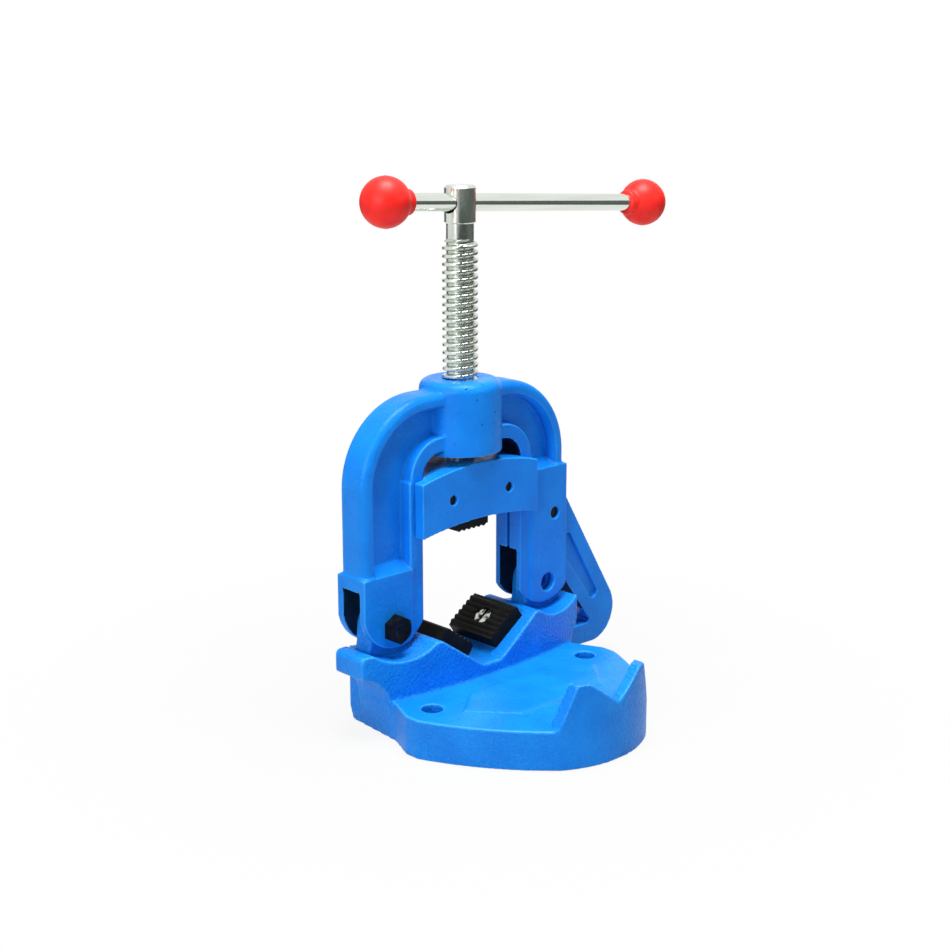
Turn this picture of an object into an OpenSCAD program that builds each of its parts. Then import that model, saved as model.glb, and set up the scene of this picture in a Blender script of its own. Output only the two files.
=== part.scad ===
// Yoke pipe vise: a cast base with a V seat and a pipe rest, a hinged yoke with a screw-driven jaw, and a hook latch.
// Millimetres. +Z is up, the pipe lies along Y, -Y is the front with the pipe rest, +X is the latch side.
// The origin is on the bench face, under the axis of the spindle.

/* [Base plate] */
// Thickness of the foot plate
base_t = 20; // [14:0.5:28]
// Half width over the two bolt ears
ear_x = 72; // [71.5:0.1:72.5]
// Distance of the ears in front of the hinge plane
ear_y = 40; // [36:0.5:46]
// Radius of the ears' round ends about the point midway between them
ear_r = 70.3; // [70:0.1:70.8]
// Half width of the neck behind the ears
neck_x = 63.5; // [62.5:0.25:65]
// Distance of the neck in front of the hinge plane
neck_y = 20.5; // [19:0.25:22]
// Radius of the long curved sides
side_r = 160; // [150:5:220]
// Lean of the long sides from the pipe's direction
side_lean = 33; // [31:0.25:34]
// Reach of the nose in front of the hinge plane
nose_reach = 110.5; // [108:0.25:113]
// Radius of the nose
nose_r = 56; // [55:0.25:60]
// Half distance between the two bench bolts
bolt_x = 54.4; // [50:0.1:58]
// Distance of the bench bolts in front of the hinge plane
bolt_y = 37.6; // [35:0.1:40]
// Diameter of the bench bolt holes
bolt_d = 10.7; // [8:0.1:13]
// Height of the raised panel on the foot plate
panel_h = 0.8; // [0.4:0.1:1.5]
// Half width of the raised panel
panel_x = 46; // [42:0.5:48]
// Half width of the panel's front and rear edges
panel_end_x = 28; // [20:0.5:32]
// Distance of the panel's front edge in front of the hinge plane
panel_front = 73; // [68:0.5:78]
// Distance of the panel's widest place in front of the hinge plane
panel_mid = 52; // [50:0.5:58]

/* [Base wall] */
// Height of the wall and of its two horns
wall_h = 45; // [42:0.5:48]
// Forward bulge of the wall at the middle
wall_bulge = 24.3; // [22:0.1:28]
// Radius of the wall's curved front
wall_r = 310; // [260:5:400]
// Rear face of the wall behind the hinge plane
wall_rear = 16.5; // [16.2:0.1:22]
// Reach of the horn on the hinge side
horn_left = 79; // [77:0.25:81]
// Reach of the horn on the latch side
horn_right = 72; // [71:0.25:73]
// Thickness of the horns
horn_t = 11.4; // [10:0.1:12.5]
// Depth of the horns behind the hinge plane
horn_y = 6.5; // [6:0.25:9]
// Corner radius of the horns
horn_r = 3; // [1.5:0.25:4]
// Radius of the hollow under a horn
hollow_r = 16.2; // [15:0.1:17]
// Depth of the hollow under the horn on the hinge side
hollow_left = 14.7; // [13:0.1:16]
// Depth of the hollow under the horn on the latch side
hollow_right = 5.8; // [5:0.1:6.5]
// Half width of the wall at the bench
foot_x = 60; // [57:0.5:61]
// Radius of the dip under each yoke leg
dip_r = 30; // [28:0.5:34]
// Height of the bottom of the dip
dip_z = 39.2; // [38:0.1:40]
// Thickness of the hinge tongues
tongue_t = 11; // [9:0.1:11.8]
// Radius of the tongues about the hinge axis
tongue_r = 11.6; // [10:0.1:12.4]

/* [V seat] */
// Slope of each side of the V
v_slope = 35; // [32:0.5:37]
// Height of the floor of the V
v_floor_z = 26.5; // [25.5:0.25:28]
// Half width of the floor of the V
v_floor_x = 6.5; // [6:0.1:7]

/* [Pipe rest] */
// Height of the rest's two peaks
rest_h = 42; // [36:0.5:46]
// Height of the bottom of the rest's notch
rest_notch_z = 29.5; // [26:0.25:32]
// Half width of the notch between the peaks
rest_notch_x = 17; // [15:0.25:19]
// Half width over the peaks
rest_peak_x = 23.5; // [21:0.25:26]
// Half width of the rest where it meets the plate
rest_foot_x = 31.5; // [29:0.25:34]
// Thickness of the rest's wall
rest_t = 6; // [5:0.25:9]

/* [Hinge] */
// Half distance between the two hinge axes
hinge_x = 54.2; // [53.8:0.1:54.6]
// Height of the hinge axes
hinge_z = 54; // [53.5:0.1:54.8]
// Diameter of the hinge bolt
hinge_d = 8; // [6:0.1:8.6]
// Diameter of the hinge holes in the yoke
hinge_hole_d = 10; // [9:0.1:10.4]
// Width of the bolt head and nut across the flats
hex_flats = 13; // [11:0.1:14]
// Height of the bolt head
head_h = 5.3; // [4:0.1:6.5]
// Height of the nut
nut_h = 6.5; // [5:0.1:8]
// Thickness of the washer under the nut
washer_t = 1.6; // [1:0.1:2.2]
// Share of the width across flats that the chamfer leaves on the bolt head
hex_face = 0.95; // [0.9:0.01:0.98]

/* [Yoke] */
// Half width of the clear gap between the legs
gap_x = 34; // [33.5:0.1:34.5]
// Height of the top of the clear gap
gap_top = 137.5; // [136:0.5:142]
// Corner radius of the clear gap
gap_r = 12; // [9:0.5:14]
// Width of the guide rails
rail_w = 7.5; // [7:0.1:8]
// Reach of the rim on the hinge side
rim_left = 72.4; // [71.8:0.1:72.8]
// Reach of the rim on the latch side
rim_right = 67; // [66.4:0.1:67.3]
// Height of the top of the rim
rim_top = 167; // [165:0.5:169]
// Radius of the rim's shoulders
shoulder_r = 43; // [40:0.5:46]
// Thickness of the rim
rim_w = 6.5; // [5:0.25:8]
// Depth of the rim and the rails
rim_depth = 18.6; // [18:0.1:19.4]
// Rounding of the rim's outer edges
rim_round = 4; // [2:0.25:5]
// Thickness of the web between rim and rails
web_t = 4.4; // [3:0.1:6]
// Reach of the leg pad on the hinge side
pad_left = 73.2; // [73:0.1:73.3]
// Reach of the leg pad on the latch side
pad_right = 67.8; // [67.5:0.1:68.4]
// Depth over the leg pads
pad_depth = 20.6; // [20:0.1:21.5]
// Height of the top of the pad on the hinge side
pad_top_left = 82; // [80:0.5:86]
// Height of the top of the pad on the latch side
pad_top_right = 117.5; // [115:0.5:121]
// Rise of the sloping pocket end above a pad
ledge_rise = 4; // [2:0.25:6]
// Radius of the rounded foot of each leg
leg_foot_r = 21.6; // [21.5:0.1:22]
// Width of the slots in the legs
slot_w = 12.6; // [12.2:0.1:13]
// Height of the top of the open slots
slot_top = 75; // [72:0.5:77]
// Width of the slit in the latch leg's inner side
slit_w = 2; // [1.2:0.1:3]

/* [Boss] */
// Diameter of the boss
boss_d = 42; // [38:0.2:43]
// Height of the top of the boss
boss_top = 171; // [170:0.5:176]
// Height of the lower end of the boss
boss_low = 134.3; // [133.8:0.1:137]
// Rounding of the boss's top edge
boss_round = 5; // [2:0.5:7]

/* [Latch] */
// Distance of the latch pivot from the spindle axis
latch_x = 59.2; // [58.8:0.1:59.6]
// Height of the latch pivot
latch_z = 91.4; // [90.5:0.1:92]
// Radius of the latch about its pivot
latch_r = 14.6; // [13:0.1:14.8]
// Thickness of the latch
latch_t = 11; // [9:0.1:11.6]
// Diameter of the latch pin
latch_pin_d = 6.4; // [5:0.1:8]
// Radius of the rounded lower end
latch_end_r = 18; // [16:0.25:19]
// Reach of the lower end's centre from the spindle axis
latch_end_x = 94.2; // [93.5:0.1:95]
// Height of the lower end's centre
latch_end_z = 27; // [26:0.1:28]
// Height of the top of the hook's lip
lip_z = 20.8; // [19.5:0.1:21.5]
// Reach of the lip's tip from the spindle axis
lip_x = 69.6; // [67.5:0.1:70]
// Width of the rims beside the sunk panel
latch_rim = 8.2; // [6:0.1:8.6]
// Height of the top of the sunk panel
latch_panel_top = 76; // [72:0.5:80]
// Height of the bottom of the sunk panel
latch_panel_low = 38; // [36:0.5:42]
// Depth of the sunk panel
latch_sunk = 2.2; // [1.2:0.1:2.8]

/* [Jaw carriage] */
// Half width of the carriage plates
carriage_x = 39.8; // [39:0.1:40.4]
// Depth over the carriage plates
carriage_depth = 32; // [29:0.1:34]
// Height of the lower corners
carriage_low = 97.2; // [96:0.1:99]
// Height of the upper corners
carriage_high = 125; // [123:0.1:127]
// Rise of the lower edge at the middle
carriage_arch = 4; // [2:0.1:5]
// Rise of the upper edge at the middle
carriage_crown = 5.2; // [3:0.1:7]
// Half distance between the two pin holes
pin_x = 19.4; // [18:0.1:20.5]
// Height of the pin holes
pin_z = 113.7; // [112:0.1:115]
// Diameter of the jaw pins
pin_d = 5; // [4:0.1:5.6]
// Depth of the pins below the plates
pin_sunk = 1.6; // [0.5:0.1:2.5]

/* [Jaws] */
// Thickness of the lower jaws with their teeth
jaw_t = 8; // [7:0.1:8.4]
// Length of the lower jaws up the slope
jaw_len = 23; // [21:0.5:24]
// Distance of the lower jaws from the floor of the V
jaw_rise = 4.5; // [3.5:0.1:5]
// Half length of the lower jaws along the pipe
jaw_y = 16; // [13:0.25:17]
// Distance between teeth
tooth_pitch = 3.4; // [2.5:0.1:4]
// Height of the teeth
tooth_h = 1.1; // [0.8:0.1:1.6]
// Diameter of the jaw screws
screw_d = 5; // [4:0.1:6]
// Diameter of the jaw screws' heads
screw_head_d = 9.5; // [8:0.1:11]
// Height of the jaw screws' heads
screw_head_h = 4; // [3:0.1:4.4]
// Width of the slot in the jaw screws
screw_slot = 1.6; // [1:0.1:2]
// Depth of the slot in the jaw screws
screw_slot_h = 1.8; // [1:0.1:2.2]
// Length of the jaw screws below the jaws
screw_grip = 10; // [7:0.5:12]
// Half width of the upper jaw's toothed foot
top_jaw_x = 11.4; // [10:0.1:12]
// Half width of the upper jaw's tongue
top_tongue_x = 24; // [23.2:0.1:25.5]
// Half length of the upper jaw along the pipe
top_jaw_y = 8.3; // [7:0.1:8.8]
// Height of the upper jaw's tooth tips
top_jaw_low = 93.8; // [92:0.1:95]

/* [Spindle] */
// Outside diameter of the thread
thread_d = 18; // [16:0.25:20]
// Diameter of the neck under the head
neck_d = 13.4; // [11:0.1:14.5]
// Diameter of the head
head_d = 15.8; // [15:0.1:18]
// Height of the top of the spindle
spindle_top = 266.4; // [258:0.5:276]
// Length of the head
head_len = 18.4; // [17:0.2:24]
// Length of the neck
neck_len = 7.5; // [4:0.25:10]
// Diameter of the journal that turns in the carriage
journal_d = 14; // [12:0.1:15]
// Diameter of the ring groove
groove_d = 11.6; // [10:0.1:11.8]
// Thickness of the retaining ring
ring_t = 1.8; // [1.2:0.1:2.2]
// Outside diameter of the retaining ring
ring_d = 22; // [19:0.25:24]

/* [Handle] */
// Diameter of the handle bar
bar_d = 9; // [7.5:0.1:9.5]
// Diameter of the cross hole in the head
bar_hole_d = 10.6; // [10.5:0.1:11.5]
// Slope of the bar where it rests in its hole
bar_tilt = 3.6; // [0:0.1:4.2]
// Length from the spindle axis to the near knob's centre
near_reach = 48; // [42:0.5:70]
// Length from the spindle axis to the far knob's centre
far_reach = 136; // [110:0.5:150]
// Diameter of the knobs
knob_d = 25; // [20:0.25:28]
// Diameter of the knob collars
collar_d = 12.6; // [11.5:0.1:15]
// Distance of the collar's end from the knob's centre
collar_reach = 14.5; // [13.5:0.25:17]
// Depth of the bar in a knob, from the collar's end
bar_seat = 17; // [12:0.5:20]

/* [Fits] */
// Radial clearance of turning and sliding fits
run_gap = 0.05; // [0.02:0.01:0.09]
// Clearance between pieces that are bolted or pinned together
seat_gap = 0.05; // [0.02:0.01:0.1]
// Side clearance of the carriage on the rails
slide_gap = 0.4; // [0.3:0.05:0.6]
// End clearance of the spindle in the carriage
end_gap = 0.15; // [0.1:0.05:0.3]

/* [Hidden] */
$fn = 96;
over = 1;
room = 0.3;
far = 400;
blue = [0.08, 0.38, 0.85];
black = [0.09, 0.09, 0.09];
zinc = [0.72, 0.74, 0.72];
red = [0.88, 0.10, 0.08];
side_half = 34.5;
side_back = sqrt(side_r * side_r - side_half * side_half);
side_cx = ear_x - side_half * sin(side_lean) - side_back * cos(side_lean);
side_cy = -ear_y - side_half * cos(side_lean) + side_back * sin(side_lean);
nose_y = nose_r - nose_reach;
nose_join_y = nose_y - nose_r * sin(atan2(side_cy - nose_y, -side_cx));
flank_y = nose_reach + nose_r / 2;
flank_x = neck_x + (ear_x - neck_x) * (flank_y - neck_y) / (ear_y - neck_y);
ear_band = 18;
horn_root_x = foot_x + 2;
hollow_z = wall_h - horn_t - hollow_r;
panel_rear = bolt_y;
jaw_mid = jaw_rise + jaw_len / 2;
v_top_x = v_floor_x + (wall_h - v_floor_z) / tan(v_slope);
shoulder_left = rim_left - shoulder_r;
shoulder_right = rim_right - shoulder_r;
shoulder_z = rim_top - shoulder_r;
rail_x = gap_x + rail_w;
leg_foot_x = hinge_x - 2;
leg_foot_z = hinge_z + 11;
latch_slot_r = latch_r + 0.7;
carriage_core_x = gap_x - slide_gap;
carriage_groove = rim_depth / 2 + slide_gap;
carriage_top = carriage_high + carriage_crown;
crown_r = (carriage_x * carriage_x + carriage_crown * carriage_crown) / (2 * carriage_crown);
arch_r = (carriage_x * carriage_x + carriage_arch * carriage_arch) / (2 * carriage_arch);
tongue_top = pin_z + pin_d;
tongue_low = carriage_low + 5.5;
ring_top = tongue_top + end_gap + 4;
ring_room_top = ring_top + end_gap;
spindle_end = tongue_top + 2 * room;
shoulder_low = carriage_top + end_gap;
bar_z = spindle_top - head_len / 2 + 0.8;
shank_end = pad_depth / 2 + washer_t + nut_h + 2;
blend = 0.02;
pivot = [latch_x, latch_z];
latch_end = [latch_end_x, latch_end_z];
hook = [latch_end_x, lip_z];
latch_lean = atan2(latch_end_x - latch_x, latch_z - latch_end_z);
hook_lean = atan2(latch_end_x - latch_x, latch_z - lip_z);
out_lean = latch_lean + asin((latch_end_r - latch_r) / norm(latch_end - pivot));
in_lean = hook_lean + asin(latch_r / norm(hook - pivot));
out_normal = [cos(out_lean), sin(out_lean)];
in_normal = [cos(in_lean), sin(in_lean)];

// A flat outline in X and Z, made solid over that depth along Y, centred on the hinge plane
module across(depth) {
    rotate([90, 0, 0])
        linear_extrude(height = depth, center = true)
            children();
}

// A flat outline in X and Z, made solid from one Y to another
module span(from, to) {
    translate([0, to, 0])
        rotate([90, 0, 0])
            linear_extrude(height = to - from)
                children();
}

// A round bar along Y at a point in X and Z
module crosswise(x, z, d, length) {
    translate([x, 0, z])
        rotate([90, 0, 0])
            cylinder(d = d, h = length, center = true);
}

// The children and their mirror image on the other side of the spindle
module both_sides() {
    children();
    mirror([1, 0, 0])
        children();
}

// The wall from the front: hollow ends under the horns, a dip under each leg and the V between them
module wall_outline() {
    difference() {
        union() {
            wall_half(horn_right, hollow_right);
            mirror([1, 0, 0])
                wall_half(horn_left, hollow_left);
        }
        wall_cuts(horn_right, hollow_right);
        mirror([1, 0, 0])
            wall_cuts(horn_left, hollow_left);
    }
}

// One half of the wall, out to its horn
module wall_half(horn, hollow) {
    polygon([[0, 0], [foot_x, 0], [horn - hollow, hollow_z], [horn, hollow_z], [horn, wall_h - horn_r],
        [horn - horn_r, wall_h - horn_r], [horn - horn_r, wall_h], [v_top_x, wall_h], [v_floor_x, v_floor_z],
        [0, v_floor_z]]);
    translate([horn - horn_r, wall_h - horn_r])
        circle(r = horn_r);
}

// The hollow under one horn and the dip under one leg
module wall_cuts(horn, hollow) {
    translate([horn - hollow + hollow_r, hollow_z])
        circle(r = hollow_r);
    translate([hinge_x, dip_z + dip_r])
        circle(r = dip_r);
}

// One hinge tongue from the front
module tongue_outline() {
    translate([hinge_x, hinge_z])
        circle(r = tongue_r);
    polygon([[hinge_x - tongue_r, hinge_z], [hinge_x - tongue_r - 1.5, dip_z - 3], [hinge_x + tongue_r + 1.5, dip_z - 3],
        [hinge_x + tongue_r, hinge_z]]);
}

// The raised pipe rest from the front, with its V notch
module rest_outline() {
    polygon([[-rest_foot_x, 0], [rest_foot_x, 0], [rest_foot_x, base_t], [rest_peak_x, rest_h], [rest_notch_x, rest_h],
        [0, rest_notch_z], [-rest_notch_x, rest_h], [-rest_peak_x, rest_h], [-rest_foot_x, base_t]]);
}

// Moves its children to a side of the V: their X runs up the slope and their Z stands off it
module on_slope(side) {
    mirror([side < 0 ? 1 : 0, 0, 0])
        translate([v_floor_x, 0, v_floor_z])
            rotate([0, -v_slope, 0])
                children();
}

// The foot: a plate with two bolt ears, curved sides and a round nose, and the notched pipe rest standing on the nose
module foot() {
    intersection() {
        union() {
            linear_extrude(height = base_t)
                polygon([[-foot_x, wall_rear], [foot_x, wall_rear], [neck_x, -neck_y], [flank_x, -flank_y],
                    [-flank_x, -flank_y], [-neck_x, -neck_y]]);
            linear_extrude(height = base_t + panel_h)
                polygon([[-panel_x, -panel_mid], [-panel_end_x, -panel_front], [panel_end_x, -panel_front], [panel_x, -panel_mid],
                    [panel_end_x, -panel_rear], [-panel_end_x, -panel_rear]]);
            difference() {
                span(-flank_y, nose_y)
                    rest_outline();
                translate([0, nose_y, base_t / 2])
                    cylinder(r = nose_r - rest_t, h = far);
            }
        }
        within_sides();
        union() {
            translate([-far / 2, nose_join_y, 0])
                cube([far, far, rest_h + over]);
            translate([0, nose_y, 0])
                cylinder(r = nose_r, h = rest_h + over);
        }
    }
}

// What lies inside both long curved sides and the round ends of the ears
module within_sides() {
    intersection() {
        union() {
            translate([0, -ear_y, -over])
                cylinder(r = ear_r, h = rest_h + 3 * over);
            translate([-far / 2, ear_band - ear_y, -over])
                cube([far, far, rest_h + 3 * over]);
            translate([-far / 2, -ear_band - ear_y - far, -over])
                cube([far, far, rest_h + 3 * over]);
        }
        translate([side_cx, side_cy, -over])
            cylinder(r = side_r, h = rest_h + 3 * over);
        translate([-side_cx, side_cy, -over])
            cylinder(r = side_r, h = rest_h + 3 * over);
    }
}

// The wall: bulging front, narrower horns at both ends
module wall() {
    intersection() {
        span(-wall_bulge - over, wall_rear)
            wall_outline();
        translate([0, wall_r - wall_bulge, -over])
            cylinder(r = wall_r, h = wall_h + 3 * over);
        union() {
            translate([-horn_root_x, -far / 2, -over])
                cube([2 * horn_root_x, far, wall_h + 3 * over]);
            translate([-far / 2, horn_y - far, -over])
                cube([far, far, wall_h + 3 * over]);
        }
    }
}

// Cast base: foot with the pipe rest, and the V wall with two horns and two hinge tongues
module base() {
    color(blue)
        difference() {
            union() {
                foot();
                wall();
                across(tongue_t)
                    both_sides()
                        tongue_outline();
            }
            both_sides()
                union() {
                    translate([bolt_x, -bolt_y, -over])
                        cylinder(d = bolt_d, h = base_t + panel_h + 2 * over);
                    crosswise(hinge_x, hinge_z, hinge_d + 2 * run_gap, tongue_t + 2 * over);
                }
            for (side = [-1, 1])
                on_slope(side)
                    translate([jaw_mid, 0, -screw_grip - over])
                        cylinder(d = screw_d + 2 * seat_gap, h = screw_grip + 2 * over);
        }
}

// A row of teeth in X and Z: that many ridges of the tooth height, standing on Z = 0
module teeth(count) {
    for (i = [0 : count - 1])
        polygon([[i * tooth_pitch, -0.2], [(i + 1) * tooth_pitch, -0.2], [(i + 1) * tooth_pitch, 0],
            [(i + 0.6) * tooth_pitch, tooth_h], [(i + 0.4) * tooth_pitch, tooth_h], [i * tooth_pitch, 0]]);
}

// Hardened lower jaw: a toothed plate screwed on one side of the V
module lower_jaw(side) {
    count = floor(jaw_len / tooth_pitch);
    first = jaw_rise + (jaw_len - count * tooth_pitch) / 2;
    body_t = jaw_t - tooth_h;
    color(black)
        on_slope(side)
            difference() {
                union() {
                    translate([jaw_rise, -jaw_y, seat_gap])
                        cube([jaw_len, 2 * jaw_y, body_t - seat_gap]);
                    across(2 * jaw_y)
                        translate([first, body_t])
                            teeth(count);
                }
                translate([jaw_mid, 0, -over])
                    cylinder(d = screw_d + 2 * seat_gap, h = jaw_t + 2 * over);
                translate([jaw_mid, 0, body_t - screw_head_h])
                    cylinder(d = screw_head_d + 2 * room, h = jaw_t);
            }
}

module lower_jaw_left() {
    lower_jaw(-1);
}

module lower_jaw_right() {
    lower_jaw(1);
}

// Slotted screw that holds a lower jaw on the V
module lower_jaw_screw(side) {
    head_low = jaw_t - tooth_h - screw_head_h + seat_gap;
    color(zinc)
        on_slope(side)
            translate([jaw_mid, 0, 0])
                difference() {
                    union() {
                        translate([0, 0, -screw_grip])
                            cylinder(d = screw_d, h = screw_grip + head_low + over);
                        translate([0, 0, head_low])
                            cylinder(d = screw_head_d, h = screw_head_h);
                    }
                    translate([-screw_head_d, -screw_slot / 2, head_low + screw_head_h - screw_slot_h])
                        cube([2 * screw_head_d, screw_slot, screw_head_h]);
                }
}

module lower_jaw_screw_left() {
    lower_jaw_screw(-1);
}

module lower_jaw_screw_right() {
    lower_jaw_screw(1);
}

// The clear gap between the legs, grown outward by an amount
module gap_outline(grow) {
    translate([-gap_x - grow, 0])
        square([2 * (gap_x + grow), gap_top - gap_r]);
    both_sides()
        translate([gap_x - gap_r, gap_top - gap_r])
            circle(r = gap_r + grow);
    translate([gap_r - gap_x, 0])
        square([2 * (gap_x - gap_r), gap_top + grow]);
}

// The yoke's outer outline, drawn in by an amount
module rim_outline(inset) {
    translate([inset - rim_left, 0])
        square([rim_left + rim_right - 2 * inset, shoulder_z]);
    translate([shoulder_right, shoulder_z])
        circle(r = shoulder_r - inset);
    translate([-shoulder_left, shoulder_z])
        circle(r = shoulder_r - inset);
    translate([-shoulder_left, 0])
        square([shoulder_left + shoulder_right, rim_top - inset]);
}

// Section of the rim: X is out from the shoulder's centre and Y is the depth
module rim_section() {
    inner = shoulder_r - rim_w;
    translate([inner, -rim_depth / 2])
        square([rim_w - rim_round, rim_depth]);
    translate([inner, rim_round - rim_depth / 2])
        square([rim_w, rim_depth - 2 * rim_round]);
    for (side = [-1, 1])
        translate([shoulder_r - rim_round, side * (rim_depth / 2 - rim_round)])
            circle(r = rim_round);
}

// One leg from the front between two X, from its rounded foot up to a height
module leg_outline(from, to, top) {
    translate([from, leg_foot_z])
        square([to - from, top - leg_foot_z]);
    intersection() {
        translate([from, leg_foot_z - leg_foot_r])
            square([to - from, leg_foot_r + over]);
        translate([leg_foot_x, leg_foot_z])
            circle(r = leg_foot_r);
    }
}

// One leg of the yoke: guide rail, rim, and a pad with a sloping pocket end above it
module leg(side, top) {
    rim = side < 0 ? rim_left : rim_right;
    pad = side < 0 ? pad_left : pad_right;
    mirror([side < 0 ? 1 : 0, 0, 0])
        union() {
            across(rim_depth)
                leg_outline(gap_x, rail_x + over, gap_top - gap_r);
            across(pad_depth)
                leg_outline(rail_x, pad, top);
            translate([rim - shoulder_r, 0, leg_foot_z])
                linear_extrude(height = shoulder_z - leg_foot_z)
                    rim_section();
            for (face = [-1, 1])
                translate([rail_x - over, 0, 0])
                    rotate([90, 0, 90])
                        linear_extrude(height = rim - rail_x - rim_w / 2 + over)
                            polygon([[face * rim_depth / 2, top - over], [face * rim_depth / 2, top],
                                [face * web_t / 4, top + ledge_rise], [face * web_t / 4, top - over]]);
        }
}

// Cast yoke: bull-nosed rim, thin web, guide rails, boss for the spindle, and a slotted pad on each leg
module yoke() {
    color(blue)
        difference() {
            union() {
                leg(-1, pad_top_left);
                leg(1, pad_top_right);
                translate([shoulder_right, 0, shoulder_z])
                    rotate([90, 0, 0])
                        rotate_extrude(angle = 90)
                            rim_section();
                mirror([1, 0, 0])
                    translate([shoulder_left, 0, shoulder_z])
                        rotate([90, 0, 0])
                            rotate_extrude(angle = 90)
                                rim_section();
                translate([shoulder_right, 0, shoulder_z])
                    rotate([0, -90, 0])
                        linear_extrude(height = shoulder_left + shoulder_right)
                            rim_section();
                across(web_t)
                    difference() {
                        rim_outline(rim_w / 2);
                        gap_outline(rail_w / 2);
                        translate([-far / 2, 0])
                            square([far, leg_foot_z]);
                    }
                across(rim_depth)
                    difference() {
                        gap_outline(rail_w);
                        gap_outline(0);
                        translate([-far / 2, 0])
                            square([far, gap_top - gap_r]);
                    }
                translate([0, 0, boss_low])
                    rotate_extrude()
                        union() {
                            square([boss_d / 2, boss_top - boss_low - boss_round]);
                            square([boss_d / 2 - boss_round, boss_top - boss_low]);
                            translate([boss_d / 2 - boss_round, boss_top - boss_low - boss_round])
                                circle(r = boss_round);
                        }
            }
            translate([0, 0, boss_low - over])
                cylinder(d = thread_d + 2 * run_gap, h = boss_top - boss_low + 2 * over);
            across(slot_w)
                union() {
                    translate([-far / 2, 0])
                        square([far, slot_top]);
                    translate(pivot)
                        circle(r = latch_slot_r);
                    translate([latch_x, 0])
                        square([far / 2, latch_z + latch_slot_r - blend]);
                    translate([latch_x - latch_slot_r + blend, 0])
                        square([latch_slot_r + over, latch_z]);
                }
            translate([gap_x - over, -slit_w / 2, 0])
                cube([latch_x - gap_x, slit_w, latch_z + latch_slot_r - 2]);
            both_sides()
                crosswise(hinge_x, hinge_z, hinge_hole_d, pad_depth + 2 * over);
            crosswise(latch_x, latch_z, latch_pin_d + 2 * seat_gap, pad_depth + 2 * over);
        }
}

// Hexagon bolt on which the yoke swings, head to the front
module hinge_bolt() {
    color(black)
        translate([-hinge_x, 0, hinge_z])
            rotate([-90, 0, 0])
                union() {
                    translate([0, 0, -pad_depth / 2 - head_h])
                        intersection() {
                            rotate([0, 0, 30])
                                cylinder(d = hex_flats / cos(30), h = head_h - seat_gap, $fn = 6);
                            cylinder(d1 = hex_flats * hex_face, d2 = hex_flats * hex_face + 4 * head_h, h = head_h);
                        }
                    translate([0, 0, -pad_depth / 2 - head_h / 2])
                        cylinder(d = hinge_d, h = pad_depth / 2 + head_h / 2 + shank_end);
                }
}

// Plain washer under the hinge nut
module hinge_washer() {
    color(black)
        translate([-hinge_x, pad_depth / 2 + seat_gap, hinge_z])
            rotate([-90, 0, 0])
                difference() {
                    cylinder(d = hinge_d * 2, h = washer_t - seat_gap);
                    translate([0, 0, -over])
                        cylinder(d = hinge_d + 0.8, h = washer_t + 2 * over);
                }
}

// Hexagon nut on the rear end of the hinge bolt
module hinge_nut() {
    color(black)
        translate([-hinge_x, pad_depth / 2 + washer_t + seat_gap, hinge_z])
            rotate([-90, 0, 0])
                difference() {
                    rotate([0, 0, 30])
                        cylinder(d = hex_flats / cos(30), h = nut_h, $fn = 6);
                    translate([0, 0, -over])
                        cylinder(d = hinge_d + 2 * seat_gap, h = nut_h + 2 * over);
                }
}

// The latch's body: a round head on the pivot, two straight edges, a round end and the hook's lip
module latch_body() {
    low = latch_end_z - latch_end_r;
    reach = 2 * latch_end_r;
    crosswise(latch_x, latch_z, 2 * latch_r, latch_t);
    across(latch_t)
        polygon([pivot + (latch_r - blend) * out_normal, latch_end + (latch_end_r - blend) * out_normal,
            [latch_end_x, low + blend], [lip_x + 6.5, low + 1], [lip_x + 1.5, lip_z - 5.5], [lip_x, lip_z - 1.5],
            [lip_x + 1.5, lip_z], hook, pivot - (latch_r - blend) * in_normal]);
    intersection() {
        crosswise(latch_end_x, latch_end_z, 2 * latch_end_r, latch_t);
        across(2 * latch_t)
            polygon([latch_end, latch_end + reach * [cos(out_lean + 20), sin(out_lean + 20)],
                latch_end + reach * [1.2, -0.4], latch_end + reach * [0.6, -1.2],
                latch_end + reach * [cos(250), sin(250)]]);
    }
}

// Where a straight edge through a point, leaning that far out from the vertical, is at a height
function edge_x(point, lean, z) = point[0] + (point[1] - z) * tan(lean);

// The sunk panel of the latch: between rims along both edges, with a round lower end
module panel_outline() {
    out = pivot + (latch_r - latch_rim) * out_normal;
    in = pivot - (latch_r - latch_rim) * in_normal;
    out_low = edge_x(out, out_lean, latch_panel_low);
    in_low = edge_x(in, in_lean, latch_panel_low);
    polygon([[edge_x(out, out_lean, latch_panel_top), latch_panel_top], [out_low, latch_panel_low],
        [in_low, latch_panel_low], [edge_x(in, in_lean, latch_panel_top), latch_panel_top]]);
    translate([(out_low + in_low) / 2, latch_panel_low])
        circle(r = (out_low - in_low) / 2 - 0.5);
}

// Cast hook latch with a sunk panel on each face
module latch() {
    color(blue)
        difference() {
            latch_body();
            for (face = [-1, 1])
                translate([0, face * latch_t / 2, 0])
                    across(2 * latch_sunk)
                        panel_outline();
            crosswise(latch_x, latch_z, latch_pin_d + 2 * run_gap, latch_t + 2 * over);
        }
}

// Plain pin on which the latch swings, pressed in the leg and sunk below its faces
module latch_pin() {
    color(black)
        crosswise(latch_x, latch_z, latch_pin_d, pad_depth - 2 * pin_sunk);
}

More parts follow.
